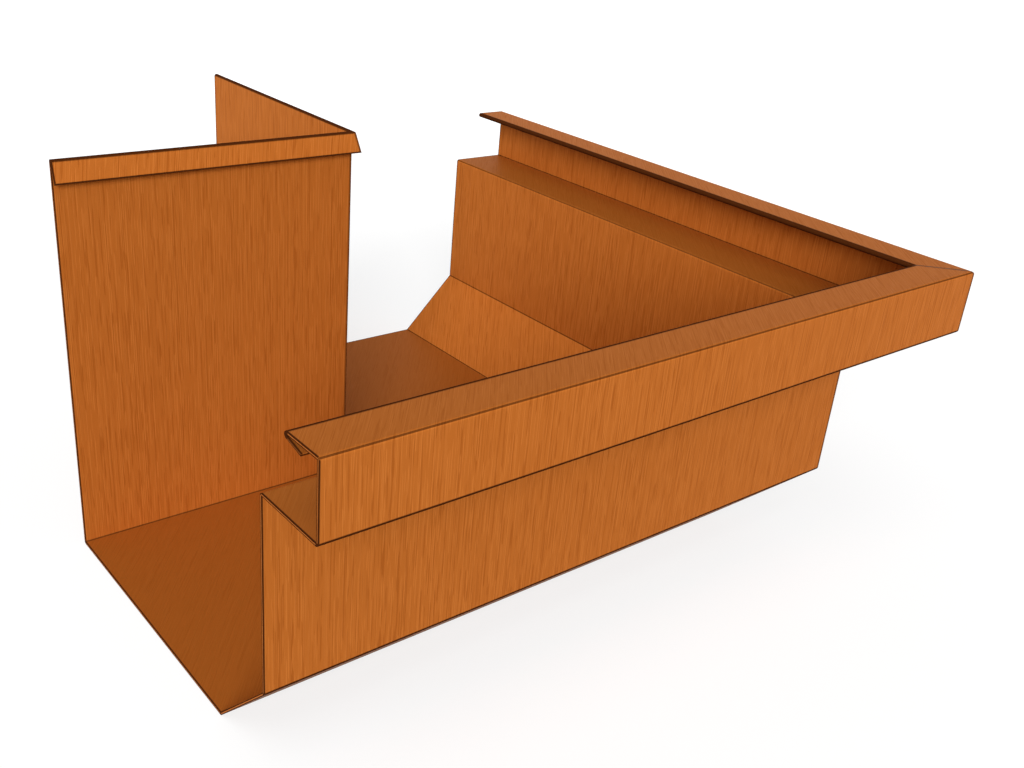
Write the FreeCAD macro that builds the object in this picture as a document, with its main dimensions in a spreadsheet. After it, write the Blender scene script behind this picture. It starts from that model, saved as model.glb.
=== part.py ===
import FreeCAD, Part
import math
import os
import Sketcher

# Copper box gutter, external angle
#
# Two lengths of folded copper sheet are mitred at 45 degrees and brazed together, so that the
# gutter turns round the outside corner of a building. Both lengths have the same folded section:
# a hemmed back wall, a floor, a slope, a front, a ledge, an upstand and a hemmed lip.
#
# The building corner stands at the datum of each body: outward is away from the wall, Z is up.

os.makedirs("parts", exist_ok=True)
doc = FreeCAD.newDocument("gutter_external_angle")

# Driving dimensions, in millimetres and degrees
SIZES = (
    ("sheet_thickness", 0.8, "copper sheet"),
    ("bend_radius", 0.2, "inside radius of an open fold"),
    ("hem_radius", 0.1, "inside radius of a folded-back edge"),
    ("wall_height", 130.0, "underside to the top of the back wall"),
    ("floor_width", 100.0, "back of the wall to the start of the slope"),
    ("slope_run", 25.0, "how far the slope goes outward"),
    ("slope_rise", 25.0, "how far the slope goes up"),
    ("front_rise", 58.0, "top of the slope to the underside of the ledge"),
    ("ledge_width", 25.0, "face of the front to the face of the upstand"),
    ("upstand_rise", 22.0, "underside of the ledge to the top of the lip"),
    ("lip_width", 14.5, "face of the upstand to the folded edge of the lip"),
    ("hem_length", 7.4, "top of the back wall to the cut edge of its hem"),
    ("hem_angle", 13.0, "how far the hem stands open from the back wall"),
    ("return_length", 7.4, "edge of the lip to the cut edge of its return"),
    ("return_angle", 13.0, "how far the return stands open from the lip"),
    ("leg_length", 100.0, "building corner to the open end"),
    ("seam_width", 0.3, "gap between the mitred lengths, filled with braze"),
    ("bead_radius", 0.5, "braze bead run inside the trough"),
    ("cutter_margin", 5.0, "how far a cutting shape runs past the sheet"),
)

sizes = doc.addObject("Spreadsheet::Sheet", "Sizes")
for row, (alias, value, meaning) in enumerate(SIZES, start=1):
    sizes.set("A%d" % row, meaning)
    sizes.set("B%d" % row, str(value))
    sizes.setAlias("B%d" % row, alias)
doc.recompute()


def size(*aliases):
    """The value of a driving dimension, or the sum of several."""
    return sum(float(sizes.get(alias)) for alias in aliases)


# Expressions that several features share
FRONT = "(Sizes.floor_width + Sizes.slope_run)"
DEPTH = "(Sizes.floor_width + Sizes.slope_run + Sizes.ledge_width)"
LEDGE = "(Sizes.slope_rise + Sizes.front_rise)"
LIP = "(Sizes.slope_rise + Sizes.front_rise + Sizes.upstand_rise)"
HEM_OUTSIDE = "(Sizes.hem_radius + Sizes.sheet_thickness)"
SEAM_SHIFT = "(Sizes.seam_width / sqrt(2))"
MARGIN = "Sizes.cutter_margin"


# Folded section
#
# The section is drawn like the sheet is folded: nine flats joined by eight folds, from the cut
# edge of the back wall's hem to the cut edge of the lip's return. The right-hand line is the
# outside of the gutter, and the left-hand line lies one sheet thickness inside it.

FLATS = ("hem", "back", "floor", "slope", "front", "ledge", "upstand", "lip", "return")
FOLDS = ("hem_radius",) + ("bend_radius",) * 6 + ("hem_radius",)


def outside_corners():
    """Where the outside lines of the flats would meet if the folds were sharp."""
    front = size("floor_width", "slope_run")
    depth = size("floor_width", "slope_run", "ledge_width")
    ledge = size("slope_rise", "front_rise")
    top = size("slope_rise", "front_rise", "upstand_rise")
    outside = size("hem_radius", "sheet_thickness")

    hem_angle = math.radians(size("hem_angle"))
    hem_reach = outside / math.tan(hem_angle / 2)
    hem_corner = size("wall_height") - outside + hem_reach
    hem_run = hem_reach + size("hem_length") - outside

    return_angle = math.radians(size("return_angle"))
    return_reach = outside / math.tan(return_angle / 2)
    return_corner = depth - size("lip_width") + outside - return_reach
    return_run = return_reach + size("return_length") - outside
    return (
        (hem_run * math.sin(hem_angle), hem_corner - hem_run * math.cos(hem_angle)),
        (0.0, hem_corner),
        (0.0, 0.0),
        (size("floor_width"), 0.0),
        (front, size("slope_rise")),
        (front, ledge),
        (depth, ledge),
        (depth, top),
        (return_corner, top),
        (return_corner + return_run * math.cos(return_angle),
         top - return_run * math.sin(return_angle)),
    )


def folded_lines(corners, insides, thickness, offset):
    """Flats and folds of one face of a sheet, offset to the left of the lines through corners.

    insides gives the inside radius of each fold."""
    points = [FreeCAD.Vector(across, up, 0) for across, up in corners]
    along = [(end - start).normalize() for start, end in zip(points, points[1:])]
    left = [FreeCAD.Vector(-step.y, step.x, 0) for step in along]

    starts = [points[0] + left[0] * offset]
    ends = []
    folds = []
    for index in range(len(along) - 1):
        turn = along[index].cross(along[index + 1]).z
        side = 1.0 if turn > 0 else -1.0
        to_centre = insides[index] + (thickness if side > 0 else 0.0)
        bisector = left[index] + left[index + 1]
        reach = side * to_centre / (1.0 + left[index] * left[index + 1])
        centre = points[index + 1] + bisector * reach
        radius = to_centre - side * offset
        first = centre - left[index] * side * radius
        second = centre - left[index + 1] * side * radius
        ends.append(first)
        starts.append(second)
        folds.append((centre, radius, side, first, second))
    ends.append(points[-1] + left[-1] * offset)
    return list(zip(starts, ends)), folds


def add_face_line(sketch, corners, insides, thickness, offset):
    """Draws one face of a sheet and joins its flats and folds tangentially."""
    flats, folds = folded_lines(corners, insides, thickness, offset)
    lines = [sketch.addGeometry(Part.LineSegment(start, end)) for start, end in flats]
    arcs = []
    for index, (centre, radius, side, first, second) in enumerate(folds):
        low, high = (first, second) if side > 0 else (second, first)
        angles = [math.atan2(p.y - centre.y, p.x - centre.x) for p in (low, high)]
        circle = Part.Circle(centre, FreeCAD.Vector(0, 0, 1), radius)
        arc = sketch.addGeometry(Part.ArcOfCircle(circle, angles[0], angles[1]))
        entry, leave = (1, 2) if side > 0 else (2, 1)
        sketch.addConstraint(Sketcher.Constraint("Tangent", lines[index], 2, arc, entry))
        sketch.addConstraint(Sketcher.Constraint("Tangent", arc, leave, lines[index + 1], 1))
        arcs.append(arc)
    return lines, arcs, [fold[2] for fold in folds]


def bind(sketch, name, constraint, expression):
    """Adds a named constraint whose value follows the spreadsheet."""
    index = sketch.addConstraint(constraint)
    sketch.renameConstraint(index, name)
    sketch.setExpression("Constraints." + name, expression)


def draw_section(sketch):
    """The closed outline of the folded sheet, fully constrained from the spreadsheet."""
    corners = outside_corners()
    thickness = size("sheet_thickness")
    insides = [size(fold) for fold in FOLDS]
    outer, outer_arcs, sides = add_face_line(sketch, corners, insides, thickness, 0.0)
    inner, inner_arcs, _ = add_face_line(sketch, corners, insides, thickness, thickness)

    # Cut edges of the sheet
    for name, index, end in (("hem_edge", 0, 1), ("return_edge", -1, 2)):
        across = (sketch.getPoint(outer[index], end), sketch.getPoint(inner[index], end))
        edge = sketch.addGeometry(Part.LineSegment(across[0], across[1]))
        sketch.addConstraint(Sketcher.Constraint("Coincident", outer[index], end, edge, 1))
        sketch.addConstraint(Sketcher.Constraint("Coincident", inner[index], end, edge, 2))
        sketch.addConstraint(Sketcher.Constraint("Perpendicular", outer[index], edge))
        bind(sketch, name, Sketcher.Constraint("Distance", edge, thickness),
             "Sizes.sheet_thickness")

    # Both faces of a fold turn about one centre
    for index, (inside, side) in enumerate(zip(FOLDS, sides)):
        tight, wide = (inner_arcs, outer_arcs) if side > 0 else (outer_arcs, inner_arcs)
        sketch.addConstraint(Sketcher.Constraint("Coincident", tight[index], 3, wide[index], 3))
        bind(sketch, "fold_%d_inside" % (index + 1),
             Sketcher.Constraint("Radius", tight[index], size(inside)), "Sizes." + inside)
        bind(sketch, "fold_%d_outside" % (index + 1),
             Sketcher.Constraint("Radius", wide[index], size(inside) + thickness),
             "Sizes.%s + Sizes.sheet_thickness" % inside)

    line = dict(zip(FLATS, outer))
    for name in ("back", "front", "upstand"):
        sketch.addConstraint(Sketcher.Constraint("Vertical", line[name]))
    for name in ("floor", "ledge", "lip"):
        sketch.addConstraint(Sketcher.Constraint("Horizontal", line[name]))
    sketch.addConstraint(Sketcher.Constraint("PointOnObject", line["back"], 1, -2))
    sketch.addConstraint(Sketcher.Constraint("PointOnObject", line["floor"], 1, -1))

    # Faces of the front, the ledge, the upstand and the lip, from the building corner
    for name, corner, direction, expression in (
        ("front", corners[5], "DistanceX", FRONT),
        ("ledge", corners[5], "DistanceY", LEDGE),
        ("upstand", corners[7], "DistanceX", DEPTH),
        ("lip", corners[7], "DistanceY", LIP),
    ):
        value = corner[0] if direction == "DistanceX" else corner[1]
        bind(sketch, name + "_face",
             Sketcher.Constraint(direction, -1, 1, line[name], 1, value), expression)

    # The slope runs between two construction points
    for name, corner, across, up in (
        ("slope_foot", corners[3], "Sizes.floor_width", None),
        ("slope_head", corners[4], FRONT, "Sizes.slope_rise"),
    ):
        point = sketch.addGeometry(Part.Point(FreeCAD.Vector(corner[0], corner[1], 0)), True)
        sketch.addConstraint(Sketcher.Constraint("PointOnObject", point, 1, line["slope"]))
        bind(sketch, name + "_across",
             Sketcher.Constraint("DistanceX", -1, 1, point, 1, corner[0]), across)
        if up is None:
            sketch.addConstraint(Sketcher.Constraint("PointOnObject", point, 1, -1))
        else:
            bind(sketch, name + "_up",
                 Sketcher.Constraint("DistanceY", -1, 1, point, 1, corner[1]), up)

    # Folded-back edges: the top of the fold, the angle it stands open and its straight part
    depth = size("floor_width", "slope_run", "ledge_width")
    outside = size("hem_radius", "sheet_thickness")
    bind(sketch, "wall_top",
         Sketcher.Constraint("DistanceY", -1, 1, outer_arcs[0], 3, size("wall_height") - outside),
         "Sizes.wall_height - " + HEM_OUTSIDE)
    bind(sketch, "lip_tip",
         Sketcher.Constraint("DistanceX", -1, 1, outer_arcs[7], 3,
                             depth - size("lip_width") + outside),
         DEPTH + " - Sizes.lip_width + " + HEM_OUTSIDE)
    bind(sketch, "hem_open",
         Sketcher.Constraint("Angle", line["hem"], math.radians(90 + size("hem_angle"))),
         "90 deg + Sizes.hem_angle * 1 deg")
    bind(sketch, "return_open",
         Sketcher.Constraint("Angle", line["return"], math.radians(-size("return_angle"))),
         "-Sizes.return_angle * 1 deg")
    bind(sketch, "hem_straight",
         Sketcher.Constraint("Distance", line["hem"], size("hem_length") - outside),
         "Sizes.hem_length - " + HEM_OUTSIDE)
    bind(sketch, "return_straight",
         Sketcher.Constraint("Distance", line["return"], size("return_length") - outside),
         "Sizes.return_length - " + HEM_OUTSIDE)


# Lengths of gutter

def origin_plane(body, role):
    """One of the three planes of a body's own frame."""
    for feature in body.Origin.OriginFeatures:
        if feature.Role == role:
            return feature
    raise ValueError("no plane " + role)


def add_sketch(body, name, role):
    """An empty sketch on one of a body's own planes."""
    sketch = body.newObject("Sketcher::SketchObject", name)
    sketch.AttachmentSupport = [(origin_plane(body, role), "")]
    sketch.MapMode = "FlatFace"
    return sketch


def cut_mitre(body, name, hand, shift, keeps_leg):
    """Cuts the length along the mitre, shift along the run from the building corner's diagonal.

    keeps_leg takes the corner away and keeps the leg; otherwise the leg goes and the corner
    stays, which leaves the slice that the braze fills."""
    sketch = add_sketch(body, name + "_outline", "XY_Plane")
    depth = size("floor_width", "slope_run", "ledge_width")
    margin = size("cutter_margin")
    offset = size("seam_width") / math.sqrt(2) if shift != "0" else 0.0
    near = (hand * (offset + margin), -margin)
    far = (hand * (offset - depth - margin), depth + margin)
    apex = (far[0], near[1]) if keeps_leg else (near[0], far[1])
    spots = [FreeCAD.Vector(across, up, 0) for across, up in (near, far, apex)]
    lines = []
    for index in range(3):
        lines.append(sketch.addGeometry(Part.LineSegment(spots[index], spots[(index + 1) % 3])))
    for index in range(3):
        sketch.addConstraint(
            Sketcher.Constraint("Coincident", lines[index], 2, lines[(index + 1) % 3], 1))
    first, second = (lines[1], lines[2]) if keeps_leg else (lines[2], lines[1])
    sketch.addConstraint(Sketcher.Constraint("Vertical", first))
    sketch.addConstraint(Sketcher.Constraint("Horizontal", second))

    def pin(label, end, direction, value, expression):
        ends = (-1, 1, lines[0], end) if value > 0 else (lines[0], end, -1, 1)
        bind(sketch, label, Sketcher.Constraint(direction, *ends, abs(value)), expression)

    pin("near_along", 1, "DistanceX", near[0], shift + " + " + MARGIN)
    pin("near_out", 1, "DistanceY", near[1], MARGIN)
    pin("far_along", 2, "DistanceX", far[0], DEPTH + " + " + MARGIN + " - " + shift)
    pin("far_out", 2, "DistanceY", far[1], DEPTH + " + " + MARGIN)

    pocket = body.newObject("PartDesign::Pocket", name)
    pocket.Profile = sketch
    pocket.SideType = "Symmetric"
    pocket.Type = "ThroughAll"
    return pocket


def add_length(name, hand, run):
    """A length of folded gutter, from the outermost point of the corner along its own side.

    hand is 1 for the length that runs to the left of the corner, seen from outside, and -1
    for the one that runs to the right. run is how far it goes beyond the building corner."""
    body = doc.addObject("PartDesign::Body", name)
    body.Label = name
    section = add_sketch(body, name + "_section", "YZ_Plane")
    draw_section(section)
    sign = "-" if hand > 0 else ""
    section.setExpression(".AttachmentOffset.Base.z", sign + DEPTH)
    folded = body.newObject("PartDesign::Pad", name + "_folded")
    folded.Profile = section
    folded.Reversed = hand < 0
    folded.setExpression("Length", "%s + %s" % (DEPTH, run))
    return body


def stand_at_corner(body, hand):
    """Turns a length to its side of the corner; the origin is the middle of the footprint."""
    angle = 180.0 if hand > 0 else -90.0
    body.Placement = FreeCAD.Placement(
        FreeCAD.Vector(0, 0, 0), FreeCAD.Rotation(FreeCAD.Vector(0, 0, 1), angle))
    stand_on_origin(body)


def stand_on_origin(feature, out="0"):
    """Puts a feature on the mitre line, out from the building corner, in the part's frame."""
    middle = "(%s - Sizes.leg_length) / 2" % DEPTH
    feature.setExpression(".Placement.Base.x", "%s - %s" % (out, middle))
    feature.setExpression(".Placement.Base.y", "%s - %s" % (middle, out))


def make_leg(name, hand):
    """One mitred length of gutter, standing at its side of the building corner."""
    body = add_length(name, hand, "Sizes.leg_length")
    cut_mitre(body, name + "_mitre", hand, SEAM_SHIFT, True)
    stand_at_corner(body, hand)
    return body


left_leg = make_leg("left_leg", 1)
right_leg = make_leg("right_leg", -1)


# Brazed mitre seam
#
# The braze fills the gap between the two mitred edges, flush with the sheet, and a small bead
# follows the wet inside of the trough from the foot of the back wall to the lip.

SLOPE = "atan(Sizes.slope_rise / Sizes.slope_run)"
SLOPE_OUT = "(Sizes.sheet_thickness * sin(%s))" % SLOPE
SLOPE_UP = "(Sizes.sheet_thickness * cos(%s))" % SLOPE

# A bead can't turn more tightly than its own radius, so it rounds a hollow corner off a little
TURN_RATIO = 1.3
BEAD_TURN = "(%s * Sizes.bead_radius)" % TURN_RATIO


def wet_corners():
    """Where the wet faces of the flats would meet on the mitre plane if the folds were sharp.

    A length across the gutter is root 2 longer there."""
    thickness = size("sheet_thickness")
    turn = TURN_RATIO * size("bead_radius")
    slope = math.atan2(size("slope_rise"), size("slope_run"))
    front = size("floor_width", "slope_run") - thickness
    depth = size("floor_width", "slope_run", "ledge_width") - thickness
    ledge = size("slope_rise", "front_rise") + thickness
    top = size("slope_rise", "front_rise", "upstand_rise")
    slope_head = (front - size("floor_width")) * math.tan(slope) + thickness / math.cos(slope)
    corners = (
        (thickness, thickness + 2 * turn),
        (thickness, thickness),
        (size("floor_width") - thickness * math.tan(slope / 2), thickness),
        (front, slope_head),
        (front, ledge),
        (depth, ledge),
        (depth, top - thickness - size("bend_radius")),
    )
    return [(across * math.sqrt(2), up) for across, up in corners]


def draw_bead_path(sketch):
    """The wet side of the mitre, from a little way up the back wall to the start of the lip."""
    turn = TURN_RATIO * size("bead_radius")
    over_ledge = size("bend_radius", "sheet_thickness")
    insides = (turn, turn, turn, over_ledge, turn)
    corners = wet_corners()
    lines, arcs, _ = add_face_line(sketch, corners, insides, 0.0, 0.0)
    for index, (arc, inside) in enumerate(zip(arcs, insides)):
        expression = BEAD_TURN if index != 3 else "Sizes.bend_radius + Sizes.sheet_thickness"
        bind(sketch, "turn_%d" % (index + 1),
             Sketcher.Constraint("Radius", arc, inside), expression)

    back, floor, slope, front, ledge, upstand = lines
    for line in (back, front, upstand):
        sketch.addConstraint(Sketcher.Constraint("Vertical", line))
    for line in (floor, ledge):
        sketch.addConstraint(Sketcher.Constraint("Horizontal", line))
    foot, head = [sketch.addGeometry(Part.Point(FreeCAD.Vector(across, up, 0)), True)
                  for across, up in corners[2:4]]
    for point in (foot, head):
        sketch.addConstraint(Sketcher.Constraint("PointOnObject", point, 1, slope))

    def across(name, line, out):
        where = sketch.getPoint(line, 1).x
        bind(sketch, name, Sketcher.Constraint("DistanceX", -1, 1, line, 1, where),
             "sqrt(2) * (%s)" % out)

    def height(name, line, end, up):
        where = sketch.getPoint(line, end).y
        bind(sketch, name, Sketcher.Constraint("DistanceY", -1, 1, line, end, where), up)

    across("back_out", back, "Sizes.sheet_thickness")
    across("foot_out", foot, "Sizes.floor_width - " + SLOPE_OUT)
    across("head_out", head, FRONT + " - " + SLOPE_OUT)
    across("front_out", front, FRONT + " - Sizes.sheet_thickness")
    across("upstand_out", upstand, DEPTH + " - Sizes.sheet_thickness")
    height("start_up", back, 1, "Sizes.sheet_thickness + 2 * " + BEAD_TURN)
    height("floor_up", floor, 1, "Sizes.sheet_thickness")
    height("foot_up", foot, 1, SLOPE_UP)
    height("head_up", head, 1, "Sizes.slope_rise + " + SLOPE_UP)
    height("ledge_up", ledge, 1, LEDGE + " + Sizes.sheet_thickness")
    height("end_up", upstand, 2, LIP + " - Sizes.sheet_thickness - Sizes.bend_radius")


def make_fill(name, hand):
    """Half of the gap's filling: a slice of the same section, cut on both sides."""
    body = add_length(name, hand, MARGIN)
    cut_mitre(body, name + "_middle", hand, "0", True)
    cut_mitre(body, name + "_side", hand, SEAM_SHIFT, False)
    stand_at_corner(body, hand)
    return body


def make_bead():
    """A round bead of braze along the wet side of the mitre."""
    path = doc.addObject("Sketcher::SketchObject", "bead_path")
    path.Placement.Rotation = FreeCAD.Rotation(-45, 0, 90)
    draw_bead_path(path)
    stand_on_origin(path)
    circle = doc.addObject("Part::Circle", "bead_section")
    circle.setExpression("Radius", "Sizes.bead_radius")
    stand_on_origin(circle, "Sizes.sheet_thickness")
    circle.setExpression(".Placement.Base.z", "Sizes.sheet_thickness + 2 * " + BEAD_TURN)
    bead = doc.addObject("Part::Sweep", "bead")
    bead.Sections = [circle]
    bead.Spine = (path, ["Edge%d" % (index + 1) for index in range(11)])
    bead.Solid = True
    return bead


def make_seam(name):
    """The braze between both lengths, with its bead, less whatever the sheet takes up."""
    braze = doc.addObject("Part::MultiFuse", "braze")
    braze.Shapes = [make_fill("left_fill", 1), make_fill("right_fill", -1), make_bead()]
    legs = doc.addObject("Part::MultiFuse", "both_legs")
    legs.Shapes = [left_leg, right_leg]
    seam = doc.addObject("Part::Cut", name)
    seam.Base = braze
    seam.Tool = legs
    seam.Refine = True
    seam.Label = name
    return seam


mitre_braze = make_seam("mitre_braze")
doc.recompute()


# Check every object and write the pieces

for feature in doc.Objects:
    if "Invalid" in feature.State or "Error" in feature.State:
        raise ValueError("%s did not build" % feature.Name)

for piece in (left_leg, right_leg, mitre_braze):
    shape = piece.Shape
    if shape.isNull() or not shape.isValid() or len(shape.Solids) != 1:
        raise ValueError("%s is not one sound solid" % piece.Label)
    shape.exportStep("parts/%s.step" % piece.Label)
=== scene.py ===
import math
import bpy
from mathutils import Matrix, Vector

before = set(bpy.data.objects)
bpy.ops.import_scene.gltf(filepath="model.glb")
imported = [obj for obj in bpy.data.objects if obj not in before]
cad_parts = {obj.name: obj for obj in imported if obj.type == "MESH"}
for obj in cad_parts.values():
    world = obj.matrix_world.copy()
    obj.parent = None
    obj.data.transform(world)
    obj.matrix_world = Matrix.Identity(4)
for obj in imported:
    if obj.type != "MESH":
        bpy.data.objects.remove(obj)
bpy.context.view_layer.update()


# The two folded copper lengths
#
# Each is a strip of 0.8 mm copper, folded in a brake along eight lines and cut at 45 degrees.
# The sheet is brushed, so fine streaks run up the walls. A thin line of painted shade runs
# along each fold, and painted shade makes the level faces duller, the floor and the ledge most.

# Section of the gutter: outward from the building corner, and up
BUILDING_CORNER = (-0.025, 0.025)
SHEET = 0.0008
WALL_TOP = 0.130
FLOOR_EDGE = 0.100
FRONT_FACE = 0.125
SLOPE_TOP = 0.025
LEDGE = 0.083
UPSTAND_FACE = 0.150
LIP_TOP = 0.105
LIP_EDGE = 0.1355
LEG_END = 0.100
BEND = 0.0002
HEM_TURN = 0.0009
HEM_TIP = (0.0032, 0.1230)
RETURN_TIP = (0.1425, 0.1018)

# Open folds: the corner on the outside of the gutter, and how far a dark line of painted shade
# spreads on it. It does where the fold looks down; the others only have the fine line of painted
# shade
OPEN_FOLDS = (
    ((0.0, 0.0), 0.0006),
    ((FLOOR_EDGE, 0.0), 0.0006),
    ((FRONT_FACE, SLOPE_TOP), 0.0006),
    ((FRONT_FACE, LEDGE), 0.0),
    ((UPSTAND_FACE, LEDGE), 0.0009),
    ((UPSTAND_FACE, LIP_TOP), 0.0),
)

# The outside of the section in order, from the top of the back wall to the edge of the lip
SHEET_LINE = ([(0.0, WALL_TOP)] + [corner for corner, _ in OPEN_FOLDS]
              + [(LIP_EDGE, LIP_TOP)])

# How far the other lines of painted shade spread, and at how many times its spread a line has
# faded away
HEM_TURN_LINE = 0.0012
LIP_TURN_LINE = 0.0018
HEM_TIP_LINE = 0.0005
RETURN_TIP_LINE = 0.00045
FINE_LINE = 0.0003
FADED_OUT = 1.1

# Colours of the sheet: a bright scratch, the brushed metal, a dull scratch, the brown of the
# painted fold shade, the mitre stain and the burr, the painted shade on level faces, and the
# painted shade underneath
COPPER_LIGHT = (0.564, 0.175, 0.032, 1.0)
COPPER_MID = (0.451, 0.127, 0.019, 1.0)
COPPER_DARK = (0.348, 0.088, 0.011, 1.0)
# Brown of the painted fold shade, the mitre stain and the burr
SHADE_STAIN_AND_BURR_BROWN = (0.036, 0.008, 0.002, 1.0)
# Painted shade on the faces that look up
LEVEL_SHADE_BROWN = (0.285, 0.081, 0.011, 1.0)
# Painted shade on the faces that look down
UNDERSIDE_SHADE = (0.110, 0.034, 0.010, 1.0)

# Streaks: the direction in which they lie on level faces, from +X towards +Y; how fine the noise
# is across and along them; the part of it that makes a streak, and the part of a second noise,
# twice as wide, that presses it in; and how strongly they show
BRUSHING = math.radians(50)
BRIGHT_STREAKS = {"Across per metre": 4300.0, "Along per metre": 105.0, "Seed": 0.0}
DULL_STREAKS = {"Across per metre": 3900.0, "Along per metre": 95.0, "Seed": 17.3}
STREAK_RANGE = (0.48, 0.58)
PRESSED_RANGE = (0.45, 0.54)
PRESSED_WIDTH = 2.0
STREAK_AMOUNT = 0.75

# How strongly the painted shade on level faces and underneath, the painted shade lines along
# the folds and the stain beside the mitre cover the metal, and where: on faces that look up, on
# those that look down, and within a distance of the mitre
# Painted shade on level faces: down in the trough, and on the lip
LEVEL_SHADE_IN_TROUGH = 0.70
LEVEL_SHADE_ON_LIP = 0.45
LEVEL_SHADE_FADE = 0.006
# How strongly the painted shade underneath covers the metal
UNDERSIDE_SHADE_AMOUNT = 0.80
LOOKS_UP = (0.75, 0.98)
LOOKS_DOWN = (-0.6, -0.3)
DARK_LINE_AMOUNT = 0.95
FINE_LINE_AMOUNT = 0.75
DARK_CRISPNESS = {"Crispness": 0.7}
FINE_CRISPNESS = {"Crispness": 0.6}
MITRE_STAIN_AMOUNT = 0.70
MITRE_STAIN_REACH = (0.0003, 0.0008)

# The cut ends: the burr's width, how softly it ends, how strong it is and how deep it goes, and
# how dull the folded-back edges are
BURR = {"Width": 0.00027}
BURR_SOFTNESS = 0.00005
BURR_AMOUNT = 0.95
BURR_REACH = (0.0002, 0.0005)
HEM_DULLNESS = 0.65

# Gloss: satin, rougher in a dull scratch than in a bright one, and gone on a dark line
METALLIC = 0.20
ROUGHNESS = (0.52, 0.44)
DULL_LINE = 0.8
SPECULAR = 0.03
SPECULAR_TINT = (1.0, 0.62, 0.34, 1.0)
SCRATCH_STRENGTH = 0.12
SCRATCH_DEPTH = 0.0002


class Wiring:
    """Adds nodes to a node tree and joins them up."""

    def __init__(self, tree):
        self.tree = tree

    def add(self, kind, **values):
        node = self.tree.nodes.new(kind)
        for name, value in values.items():
            setattr(node, name, value)
        return node

    def feed(self, value, socket):
        if isinstance(value, bpy.types.NodeSocket):
            self.tree.links.new(value, socket)
        else:
            socket.default_value = value

    def place(self, group, position, values):
        node = self.add("ShaderNodeGroup", node_tree=group)
        self.feed(position, node.inputs["Position"])
        for name, value in values.items():
            node.inputs[name].default_value = value
        return node.outputs

    def maths(self, operation, *values):
        node = self.add("ShaderNodeMath", operation=operation)
        for value, socket in zip(values, node.inputs):
            self.feed(value, socket)
        return node.outputs[0]

    def smooth(self, value, low, high, start=0.0, end=1.0):
        node = self.add("ShaderNodeMapRange", interpolation_type="SMOOTHSTEP")
        for number, socket in zip((value, low, high, start, end), node.inputs):
            self.feed(number, socket)
        return node.outputs["Result"]

    def dot(self, vector, direction):
        node = self.add("ShaderNodeVectorMath", operation="DOT_PRODUCT")
        self.feed(vector, node.inputs[0])
        self.feed(tuple(direction), node.inputs[1])
        return node.outputs["Value"]

    def noise(self, vector, scale, detail):
        node = self.add("ShaderNodeTexNoise")
        self.feed(vector, node.inputs["Vector"])
        node.inputs["Scale"].default_value = scale
        node.inputs["Detail"].default_value = detail
        return node.outputs["Fac"]

    def mix(self, amount, first, second):
        node = self.add("ShaderNodeMix", data_type="RGBA")
        self.feed(amount, node.inputs[0])
        self.feed(first, node.inputs[6])
        self.feed(second, node.inputs[7])
        return node.outputs[2]

    def bump(self, height, strength, distance):
        node = self.add("ShaderNodeBump")
        node.inputs["Strength"].default_value = strength
        node.inputs["Distance"].default_value = distance
        self.feed(height, node.inputs["Height"])
        return node.outputs["Normal"]

    def finish(self, shader):
        node = self.add("ShaderNodeOutputMaterial")
        self.feed(shader.outputs[0], node.inputs["Surface"])


def new_material(name):
    """A node material without nodes, and its wiring."""
    material = bpy.data.materials.new(name)
    material.use_nodes = True
    material.node_tree.nodes.clear()
    return material, Wiring(material.node_tree)


def new_group(name, inputs, outputs):
    """An empty shader node group with named sockets, and its inner ends."""
    group = bpy.data.node_groups.new(name, "ShaderNodeTree")
    for label, kind in inputs:
        group.interface.new_socket(name=label, in_out="INPUT", socket_type=kind)
    for label, kind in outputs:
        group.interface.new_socket(name=label, in_out="OUTPUT", socket_type=kind)
    wiring = Wiring(group)
    entry = wiring.add("NodeGroupInput")
    leave = wiring.add("NodeGroupOutput")
    return group, wiring, entry, leave


def brushed_streaks():
    """Streaks of a brushed sheet, 1 on a streak: straight up the walls, and along the brushing
    on level faces. Each is broken off after a while, as the brush lifts."""
    group, w, entry, leave = new_group(
        "brushed_streaks",
        (("Position", "NodeSocketVector"), ("Across per metre", "NodeSocketFloat"),
         ("Along per metre", "NodeSocketFloat"), ("Seed", "NodeSocketFloat")),
        (("Streaks", "NodeSocketFloat"),))
    place = w.add("ShaderNodeSeparateXYZ")
    w.feed(entry.outputs["Position"], place.inputs[0])
    x, y, z = place.outputs
    across = w.maths("SUBTRACT", w.maths("MULTIPLY", x, math.sin(BRUSHING)),
                     w.maths("MULTIPLY", y, math.cos(BRUSHING)))
    along = w.maths("ADD", w.maths("MULTIPLY", x, math.cos(BRUSHING)),
                    w.maths("MULTIPLY", y, math.sin(BRUSHING)))
    counted = w.maths("MULTIPLY", across, entry.outputs["Across per metre"])
    straight = w.add("ShaderNodeCombineXYZ")
    w.feed(counted, straight.inputs[0])
    w.feed(entry.outputs["Seed"], straight.inputs[1])
    streak = w.smooth(w.noise(straight.outputs[0], 1.0, detail=1.0), *STREAK_RANGE)
    patchy = w.add("ShaderNodeCombineXYZ")
    w.feed(w.maths("DIVIDE", counted, PRESSED_WIDTH), patchy.inputs[0])
    w.feed(w.maths("MULTIPLY", along, entry.outputs["Along per metre"]), patchy.inputs[1])
    w.feed(w.maths("MULTIPLY_ADD", z, entry.outputs["Along per metre"], entry.outputs["Seed"]),
           patchy.inputs[2])
    pressed = w.smooth(w.noise(patchy.outputs[0], 1.0, detail=0.0), *PRESSED_RANGE)
    w.feed(w.maths("MULTIPLY", streak, pressed), leave.inputs["Streaks"])
    return group


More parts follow.
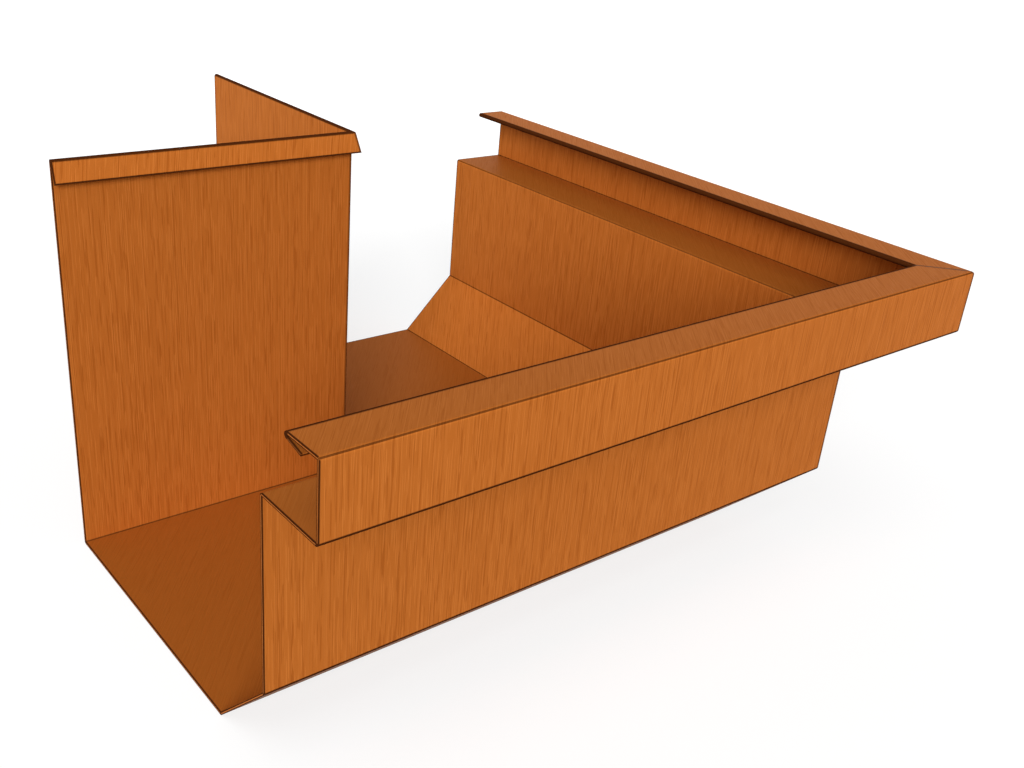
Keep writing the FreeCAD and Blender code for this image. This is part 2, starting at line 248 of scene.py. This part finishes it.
def gutter_section():
    """Where a point lies on the section, and how far it is from the mitre and the open end."""
    group, w, entry, leave = new_group(
        "gutter_section",
        (("Position", "NodeSocketVector"),),
        (("Outward", "NodeSocketFloat"), ("Up", "NodeSocketFloat"),
         ("From mitre", "NodeSocketFloat"), ("From end", "NodeSocketFloat")))
    place = w.add("ShaderNodeSeparateXYZ")
    w.feed(entry.outputs["Position"], place.inputs[0])
    east = w.maths("SUBTRACT", place.outputs[0], BUILDING_CORNER[0])
    south = w.maths("SUBTRACT", BUILDING_CORNER[1], place.outputs[1])
    w.feed(w.maths("MAXIMUM", east, south), leave.inputs["Outward"])
    w.feed(place.outputs[2], leave.inputs["Up"])
    gap = w.maths("ABSOLUTE", w.maths("SUBTRACT", east, south))
    w.feed(w.maths("MULTIPLY", gap, math.sqrt(0.5)), leave.inputs["From mitre"])
    run = w.maths("MULTIPLY", w.maths("MINIMUM", east, south), -1.0)
    w.feed(w.maths("SUBTRACT", LEG_END, run), leave.inputs["From end"])
    return group


def crease_spots():
    """Where lines of painted shade lie along folds and hem edges on the section, and how far each
    spreads: the dark ones, and the fine ones."""
    dark = [
        ((HEM_TURN, WALL_TOP), HEM_TURN_LINE),
        ((LIP_EDGE, LIP_TOP - HEM_TURN), LIP_TURN_LINE),
        (HEM_TIP, HEM_TIP_LINE),
        (RETURN_TIP, RETURN_TIP_LINE),
    ]
    fine = []
    for index, (_, spread) in enumerate(OPEN_FOLDS):
        before, corner, after = [Vector(spot) for spot in SHEET_LINE[index:index + 3]]
        back = (before - corner).normalized()
        ahead = (after - corner).normalized()
        hollow = (back + ahead).normalized()
        # The ledge's inner fold is the only one that is hollow on the outside of the gutter
        line_radius = BEND if back.cross(ahead) > 0 else BEND + SHEET
        centre = corner + hollow * line_radius / abs(back.cross(hollow))
        fine.append((tuple(centre - hollow * BEND), FINE_LINE))
        stretched = tuple(centre - hollow * (BEND + SHEET))
        if spread:
            dark.append((stretched, spread))
        else:
            fine.append((stretched, FINE_LINE))
    return dark, fine


def fold_creases(name, section, spots):
    """The painted shade lines along folds and hem edges, 1 on a line and 0 beside it."""
    group, w, entry, leave = new_group(
        name,
        (("Position", "NodeSocketVector"), ("Crispness", "NodeSocketFloat")),
        (("Crease", "NodeSocketFloat"),))
    spot = w.place(section, entry.outputs["Position"], {})
    place = w.add("ShaderNodeCombineXYZ")
    w.feed(spot["Outward"], place.inputs[0])
    w.feed(spot["Up"], place.inputs[1])
    nearest = None
    for (outward, up), spread in spots:
        gap = w.add("ShaderNodeVectorMath", operation="DISTANCE")
        w.feed(place.outputs[0], gap.inputs[0])
        gap.inputs[1].default_value = (outward, up, 0.0)
        distance = w.maths("DIVIDE", gap.outputs["Value"], spread)
        nearest = distance if nearest is None else w.maths("MINIMUM", nearest, distance)
    low = w.maths("MULTIPLY", entry.outputs["Crispness"], FADED_OUT)
    w.feed(w.smooth(nearest, low, FADED_OUT, 1.0, 0.0), leave.inputs["Crease"])
    return group


def cut_edges(section):
    """On a cut end: the dull edges along both faces of the sheet, 1 on a face and 0 within. The
    folded-back edges are duller all through."""
    group, w, entry, leave = new_group(
        "cut_edges",
        (("Position", "NodeSocketVector"), ("Width", "NodeSocketFloat")),
        (("Edge", "NodeSocketFloat"),))
    spot = w.place(section, entry.outputs["Position"], {})
    place = w.add("ShaderNodeCombineXYZ")
    w.feed(spot["Outward"], place.inputs[0])
    w.feed(spot["Up"], place.inputs[1])

    def from_middle(start, end):
        start, end = Vector((*start, 0.0)), Vector((*end, 0.0))
        along = (end - start).normalized()
        inward = Vector((-along.y, along.x, 0.0))
        run = w.dot(place.outputs[0], along)
        depth = w.maths("SUBTRACT", w.dot(place.outputs[0], inward),
                        inward.dot(start) + SHEET / 2)
        before = w.maths("SUBTRACT", along.dot(start), run)
        beyond = w.maths("SUBTRACT", run, along.dot(end))
        return w.maths("MAXIMUM", w.maths("ABSOLUTE", depth),
                       w.maths("MAXIMUM", before, beyond))

    flats = [from_middle(start, end) for start, end in zip(SHEET_LINE, SHEET_LINE[1:])]
    hems = [from_middle(HEM_TIP, (HEM_TURN, WALL_TOP)),
            from_middle((LIP_EDGE, LIP_TOP - 2 * HEM_TURN), RETURN_TIP)]
    nearest = flats[0]
    for distance in flats[1:] + hems:
        nearest = w.maths("MINIMUM", nearest, distance)
    low = w.maths("SUBTRACT", SHEET / 2 - BURR_SOFTNESS, entry.outputs["Width"])
    high = w.maths("SUBTRACT", SHEET / 2 + BURR_SOFTNESS, entry.outputs["Width"])
    on_edge = w.smooth(nearest, low, high)
    on_hem = w.smooth(w.maths("MINIMUM", *hems), SHEET / 2, SHEET, HEM_DULLNESS, 0.0)
    w.feed(w.maths("MAXIMUM", on_edge, on_hem), leave.inputs["Edge"])
    return group


SECTION = gutter_section()
STREAKS = brushed_streaks()
DARK_SPOTS, FINE_SPOTS = crease_spots()
DARK_CREASES = fold_creases("dark_creases", SECTION, DARK_SPOTS)
FINE_CREASES = fold_creases("fine_creases", SECTION, FINE_SPOTS)
EDGES = cut_edges(SECTION)


def copper_material():
    material, w = new_material("brushed_copper_sheet")
    position = w.add("ShaderNodeTexCoord").outputs["Object"]
    normal = w.add("ShaderNodeSeparateXYZ")
    w.feed(w.add("ShaderNodeNewGeometry").outputs["True Normal"], normal.inputs[0])
    facing_up = normal.outputs[2]

    bright = w.place(STREAKS, position, BRIGHT_STREAKS)["Streaks"]
    dull = w.place(STREAKS, position, DULL_STREAKS)["Streaks"]
    grain = w.maths("SUBTRACT", bright, dull)
    colour = w.mix(w.maths("MULTIPLY", dull, STREAK_AMOUNT), COPPER_MID, COPPER_DARK)
    colour = w.mix(w.maths("MULTIPLY", bright, STREAK_AMOUNT), colour, COPPER_LIGHT)

    # Painted shade dulls the level faces, most of all the floor and the ledge down in the trough
    section = w.place(SECTION, position, {})
    level = w.smooth(facing_up, *LOOKS_UP)
    level_shade = w.smooth(section["Up"], LEDGE + LEVEL_SHADE_FADE, LIP_TOP - LEVEL_SHADE_FADE,
                       LEVEL_SHADE_IN_TROUGH, LEVEL_SHADE_ON_LIP)
    colour = w.mix(w.maths("MULTIPLY", level, level_shade), colour, LEVEL_SHADE_BROWN)

    # Painted shade darkens the faces that look down
    underside_shade = w.smooth(facing_up, *LOOKS_DOWN, UNDERSIDE_SHADE_AMOUNT, 0.0)
    colour = w.mix(underside_shade, colour, UNDERSIDE_SHADE)

    # Lines of painted shade along the folds and hem edges
    dark = w.place(DARK_CREASES, position, DARK_CRISPNESS)["Crease"]
    fine = w.place(FINE_CREASES, position, FINE_CRISPNESS)["Crease"]
    line = w.maths("MAXIMUM", w.maths("MULTIPLY", dark, DARK_LINE_AMOUNT),
                   w.maths("MULTIPLY", fine, FINE_LINE_AMOUNT))

    # Heat of the torch and a trace of filler darken the sheet beside the mitre
    near_mitre = w.smooth(section["From mitre"], *MITRE_STAIN_REACH, MITRE_STAIN_AMOUNT, 0.0)
    line = w.maths("MAXIMUM", line, near_mitre)

    # The shears leave a dull burr along both sides of a cut edge, and bright metal between
    edge = w.place(EDGES, position, BURR)["Edge"]
    near_end = w.smooth(section["From end"], *BURR_REACH, BURR_AMOUNT, 0.0)
    line = w.maths("MAXIMUM", line, w.maths("MULTIPLY", near_end, edge))
    # All lines take one brown: the painted fold shade, the mitre stain and the burr
    colour = w.mix(line, colour, SHADE_STAIN_AND_BURR_BROWN)

    shader = w.add("ShaderNodeBsdfPrincipled")
    w.feed(colour, shader.inputs["Base Color"])
    w.feed(w.smooth(line, 0.0, DULL_LINE, METALLIC, 0.0), shader.inputs["Metallic"])
    w.feed(w.maths("MAXIMUM", w.smooth(grain, -1.0, 1.0, *ROUGHNESS), line),
           shader.inputs["Roughness"])
    shader.inputs["Specular IOR Level"].default_value = SPECULAR
    shader.inputs["Specular Tint"].default_value = SPECULAR_TINT
    w.feed(w.bump(grain, SCRATCH_STRENGTH, SCRATCH_DEPTH), shader.inputs["Normal"])
    w.finish(shader)
    return material


def dress(node, material):
    """Gives a piece its finish."""
    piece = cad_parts[node]
    piece.data.materials.clear()
    piece.data.materials.append(material)


copper = copper_material()
dress("left_leg", copper)
dress("right_leg", copper)


# The brazed mitre
#
# Copper-phosphorus filler drawn into the gap between the two lengths. It is dressed flush outside
# and left as a small ripple of a bead inside, a little darker and browner than the sheet.

BRAZE_LIGHT = (0.230, 0.075, 0.020, 1.0)
BRAZE_DARK = (0.085, 0.026, 0.009, 1.0)
BRAZE_SHADES = (0.35, 0.65)
BRAZE_METALLIC = 0.8
BRAZE_ROUGHNESS = (0.38, 0.6)
RIPPLES_PER_METRE = 700.0
RIPPLE_STRENGTH = 0.3
RIPPLE_DEPTH = 0.0004


def braze_material():
    material, w = new_material("brazing_filler")
    position = w.add("ShaderNodeTexCoord").outputs["Object"]
    ripple = w.noise(position, RIPPLES_PER_METRE, detail=2.0)
    shader = w.add("ShaderNodeBsdfPrincipled")
    w.feed(w.mix(w.smooth(ripple, *BRAZE_SHADES), BRAZE_DARK, BRAZE_LIGHT),
           shader.inputs["Base Color"])
    shader.inputs["Metallic"].default_value = BRAZE_METALLIC
    w.feed(w.smooth(ripple, 0.3, 0.7, *BRAZE_ROUGHNESS), shader.inputs["Roughness"])
    w.feed(w.bump(ripple, RIPPLE_STRENGTH, RIPPLE_DEPTH), shader.inputs["Normal"])
    w.finish(shader)
    return material


dress("mitre_braze", braze_material())


# Studio
#
# A plain white floor, a soft key lamp from the left and in front, a weaker one from above, and an
# even white room.

FLOOR_SIZE = 16.0
FLOOR_DROP = 0.0001
FLOOR_GREYS = ((0.34, 0.34, 0.34, 1.0), (0.36, 0.36, 0.36, 1.0))
FLOOR_ROUGHNESS = 0.9
GRAIN_PER_METRE = 900.0
LIFT_NEAR = 0.68
LIFT_REACH = (0.20, 0.80)
ROOM_LIGHT = 0.34

floor_mesh = bpy.data.meshes.new("studio_floor")
half = FLOOR_SIZE / 2
floor_mesh.from_pydata(
    [(-half, -half, 0.0), (half, -half, 0.0), (half, half, 0.0), (-half, half, 0.0)],
    [], [(0, 1, 2, 3)])
floor = bpy.data.objects.new("studio_floor", floor_mesh)
floor.location.z = -FLOOR_DROP
bpy.context.scene.collection.objects.link(floor)


def looked_at(w):
    """1 for a ray of the eye or of a reflection, and 0 for one that only gathers light."""
    rays = w.add("ShaderNodeLightPath").outputs
    reflected = w.maths("MAXIMUM", rays["Is Glossy Ray"], rays["Is Transmission Ray"])
    return w.maths("MAXIMUM", rays["Is Camera Ray"], reflected)


def floor_material():
    material, w = new_material("white_floor")
    position = w.add("ShaderNodeTexCoord").outputs["Object"]
    paper = w.noise(position, GRAIN_PER_METRE, detail=2.0)
    shader = w.add("ShaderNodeBsdfPrincipled")
    w.feed(w.mix(paper, *FLOOR_GREYS), shader.inputs["Base Color"])
    shader.inputs["Roughness"].default_value = FLOOR_ROUGHNESS
    shader.inputs["Specular IOR Level"].default_value = 0.0

    # Looked at, the floor is lifted to white, the more the further from the gutter, and it still
    # takes the shadow
    distance = w.add("ShaderNodeVectorMath", operation="LENGTH")
    w.feed(position, distance.inputs[0])
    lift = w.smooth(distance.outputs["Value"], *LIFT_REACH, LIFT_NEAR, 1.0)
    glow = w.add("ShaderNodeEmission")
    w.feed(w.maths("MULTIPLY", looked_at(w), lift), glow.inputs["Strength"])
    both = w.add("ShaderNodeAddShader")
    w.feed(shader.outputs[0], both.inputs[0])
    w.feed(glow.outputs[0], both.inputs[1])
    w.finish(both)
    return material


floor_mesh.materials.append(floor_material())


def far_lamp(name, place, spread, strength):
    """A wide soft lamp, so far off that it lights the near and the far side alike."""
    lamp = bpy.data.lights.new(name, "SUN")
    lamp.angle = math.radians(spread)
    lamp.energy = strength
    obj = bpy.data.objects.new(name, lamp)
    obj.location = place
    obj.rotation_euler = (-Vector(place)).to_track_quat("-Z", "Y").to_euler()
    bpy.context.scene.collection.objects.link(obj)


far_lamp("key_lamp", place=(-1.50, -1.72, 1.00), spread=30.0, strength=3.4)
far_lamp("top_lamp", place=(-0.90, -0.60, 2.40), spread=40.0, strength=0.7)

world = bpy.data.worlds.new("studio_room")
bpy.context.scene.world = world
world.use_nodes = True
room = Wiring(world.node_tree)
background = world.node_tree.nodes["Background"]
background.inputs["Color"].default_value = (1.0, 1.0, 1.0, 1.0)
# Looked at, the room is white, and it gives less light than that
room.feed(room.maths("MULTIPLY_ADD", looked_at(room), 1.0 - ROOM_LIGHT, ROOM_LIGHT),
          background.inputs["Strength"])
bpy.context.scene.view_settings.view_transform = "Standard"


# Camera
#
# It stands at the photograph's viewpoint, which was solved from the gutter's own edges.

CAMERA_PLACE = (-0.2301, -0.2999, 0.2194)
CAMERA_TURN = (63.873, -4.346, -38.127)
CAMERA_LENS = 39.914
CAMERA_SENSOR = 36.0
CAMERA_SHIFT = (0.0257, 0.0171)

camera_data = bpy.data.cameras.new("camera")
camera_data.lens = CAMERA_LENS
camera_data.sensor_width = CAMERA_SENSOR
camera_data.shift_x, camera_data.shift_y = CAMERA_SHIFT
camera_data.clip_start = 0.01
camera = bpy.data.objects.new("camera", camera_data)
camera.location = CAMERA_PLACE
camera.rotation_euler = [math.radians(angle) for angle in CAMERA_TURN]
bpy.context.scene.collection.objects.link(camera)
bpy.context.scene.camera = camera
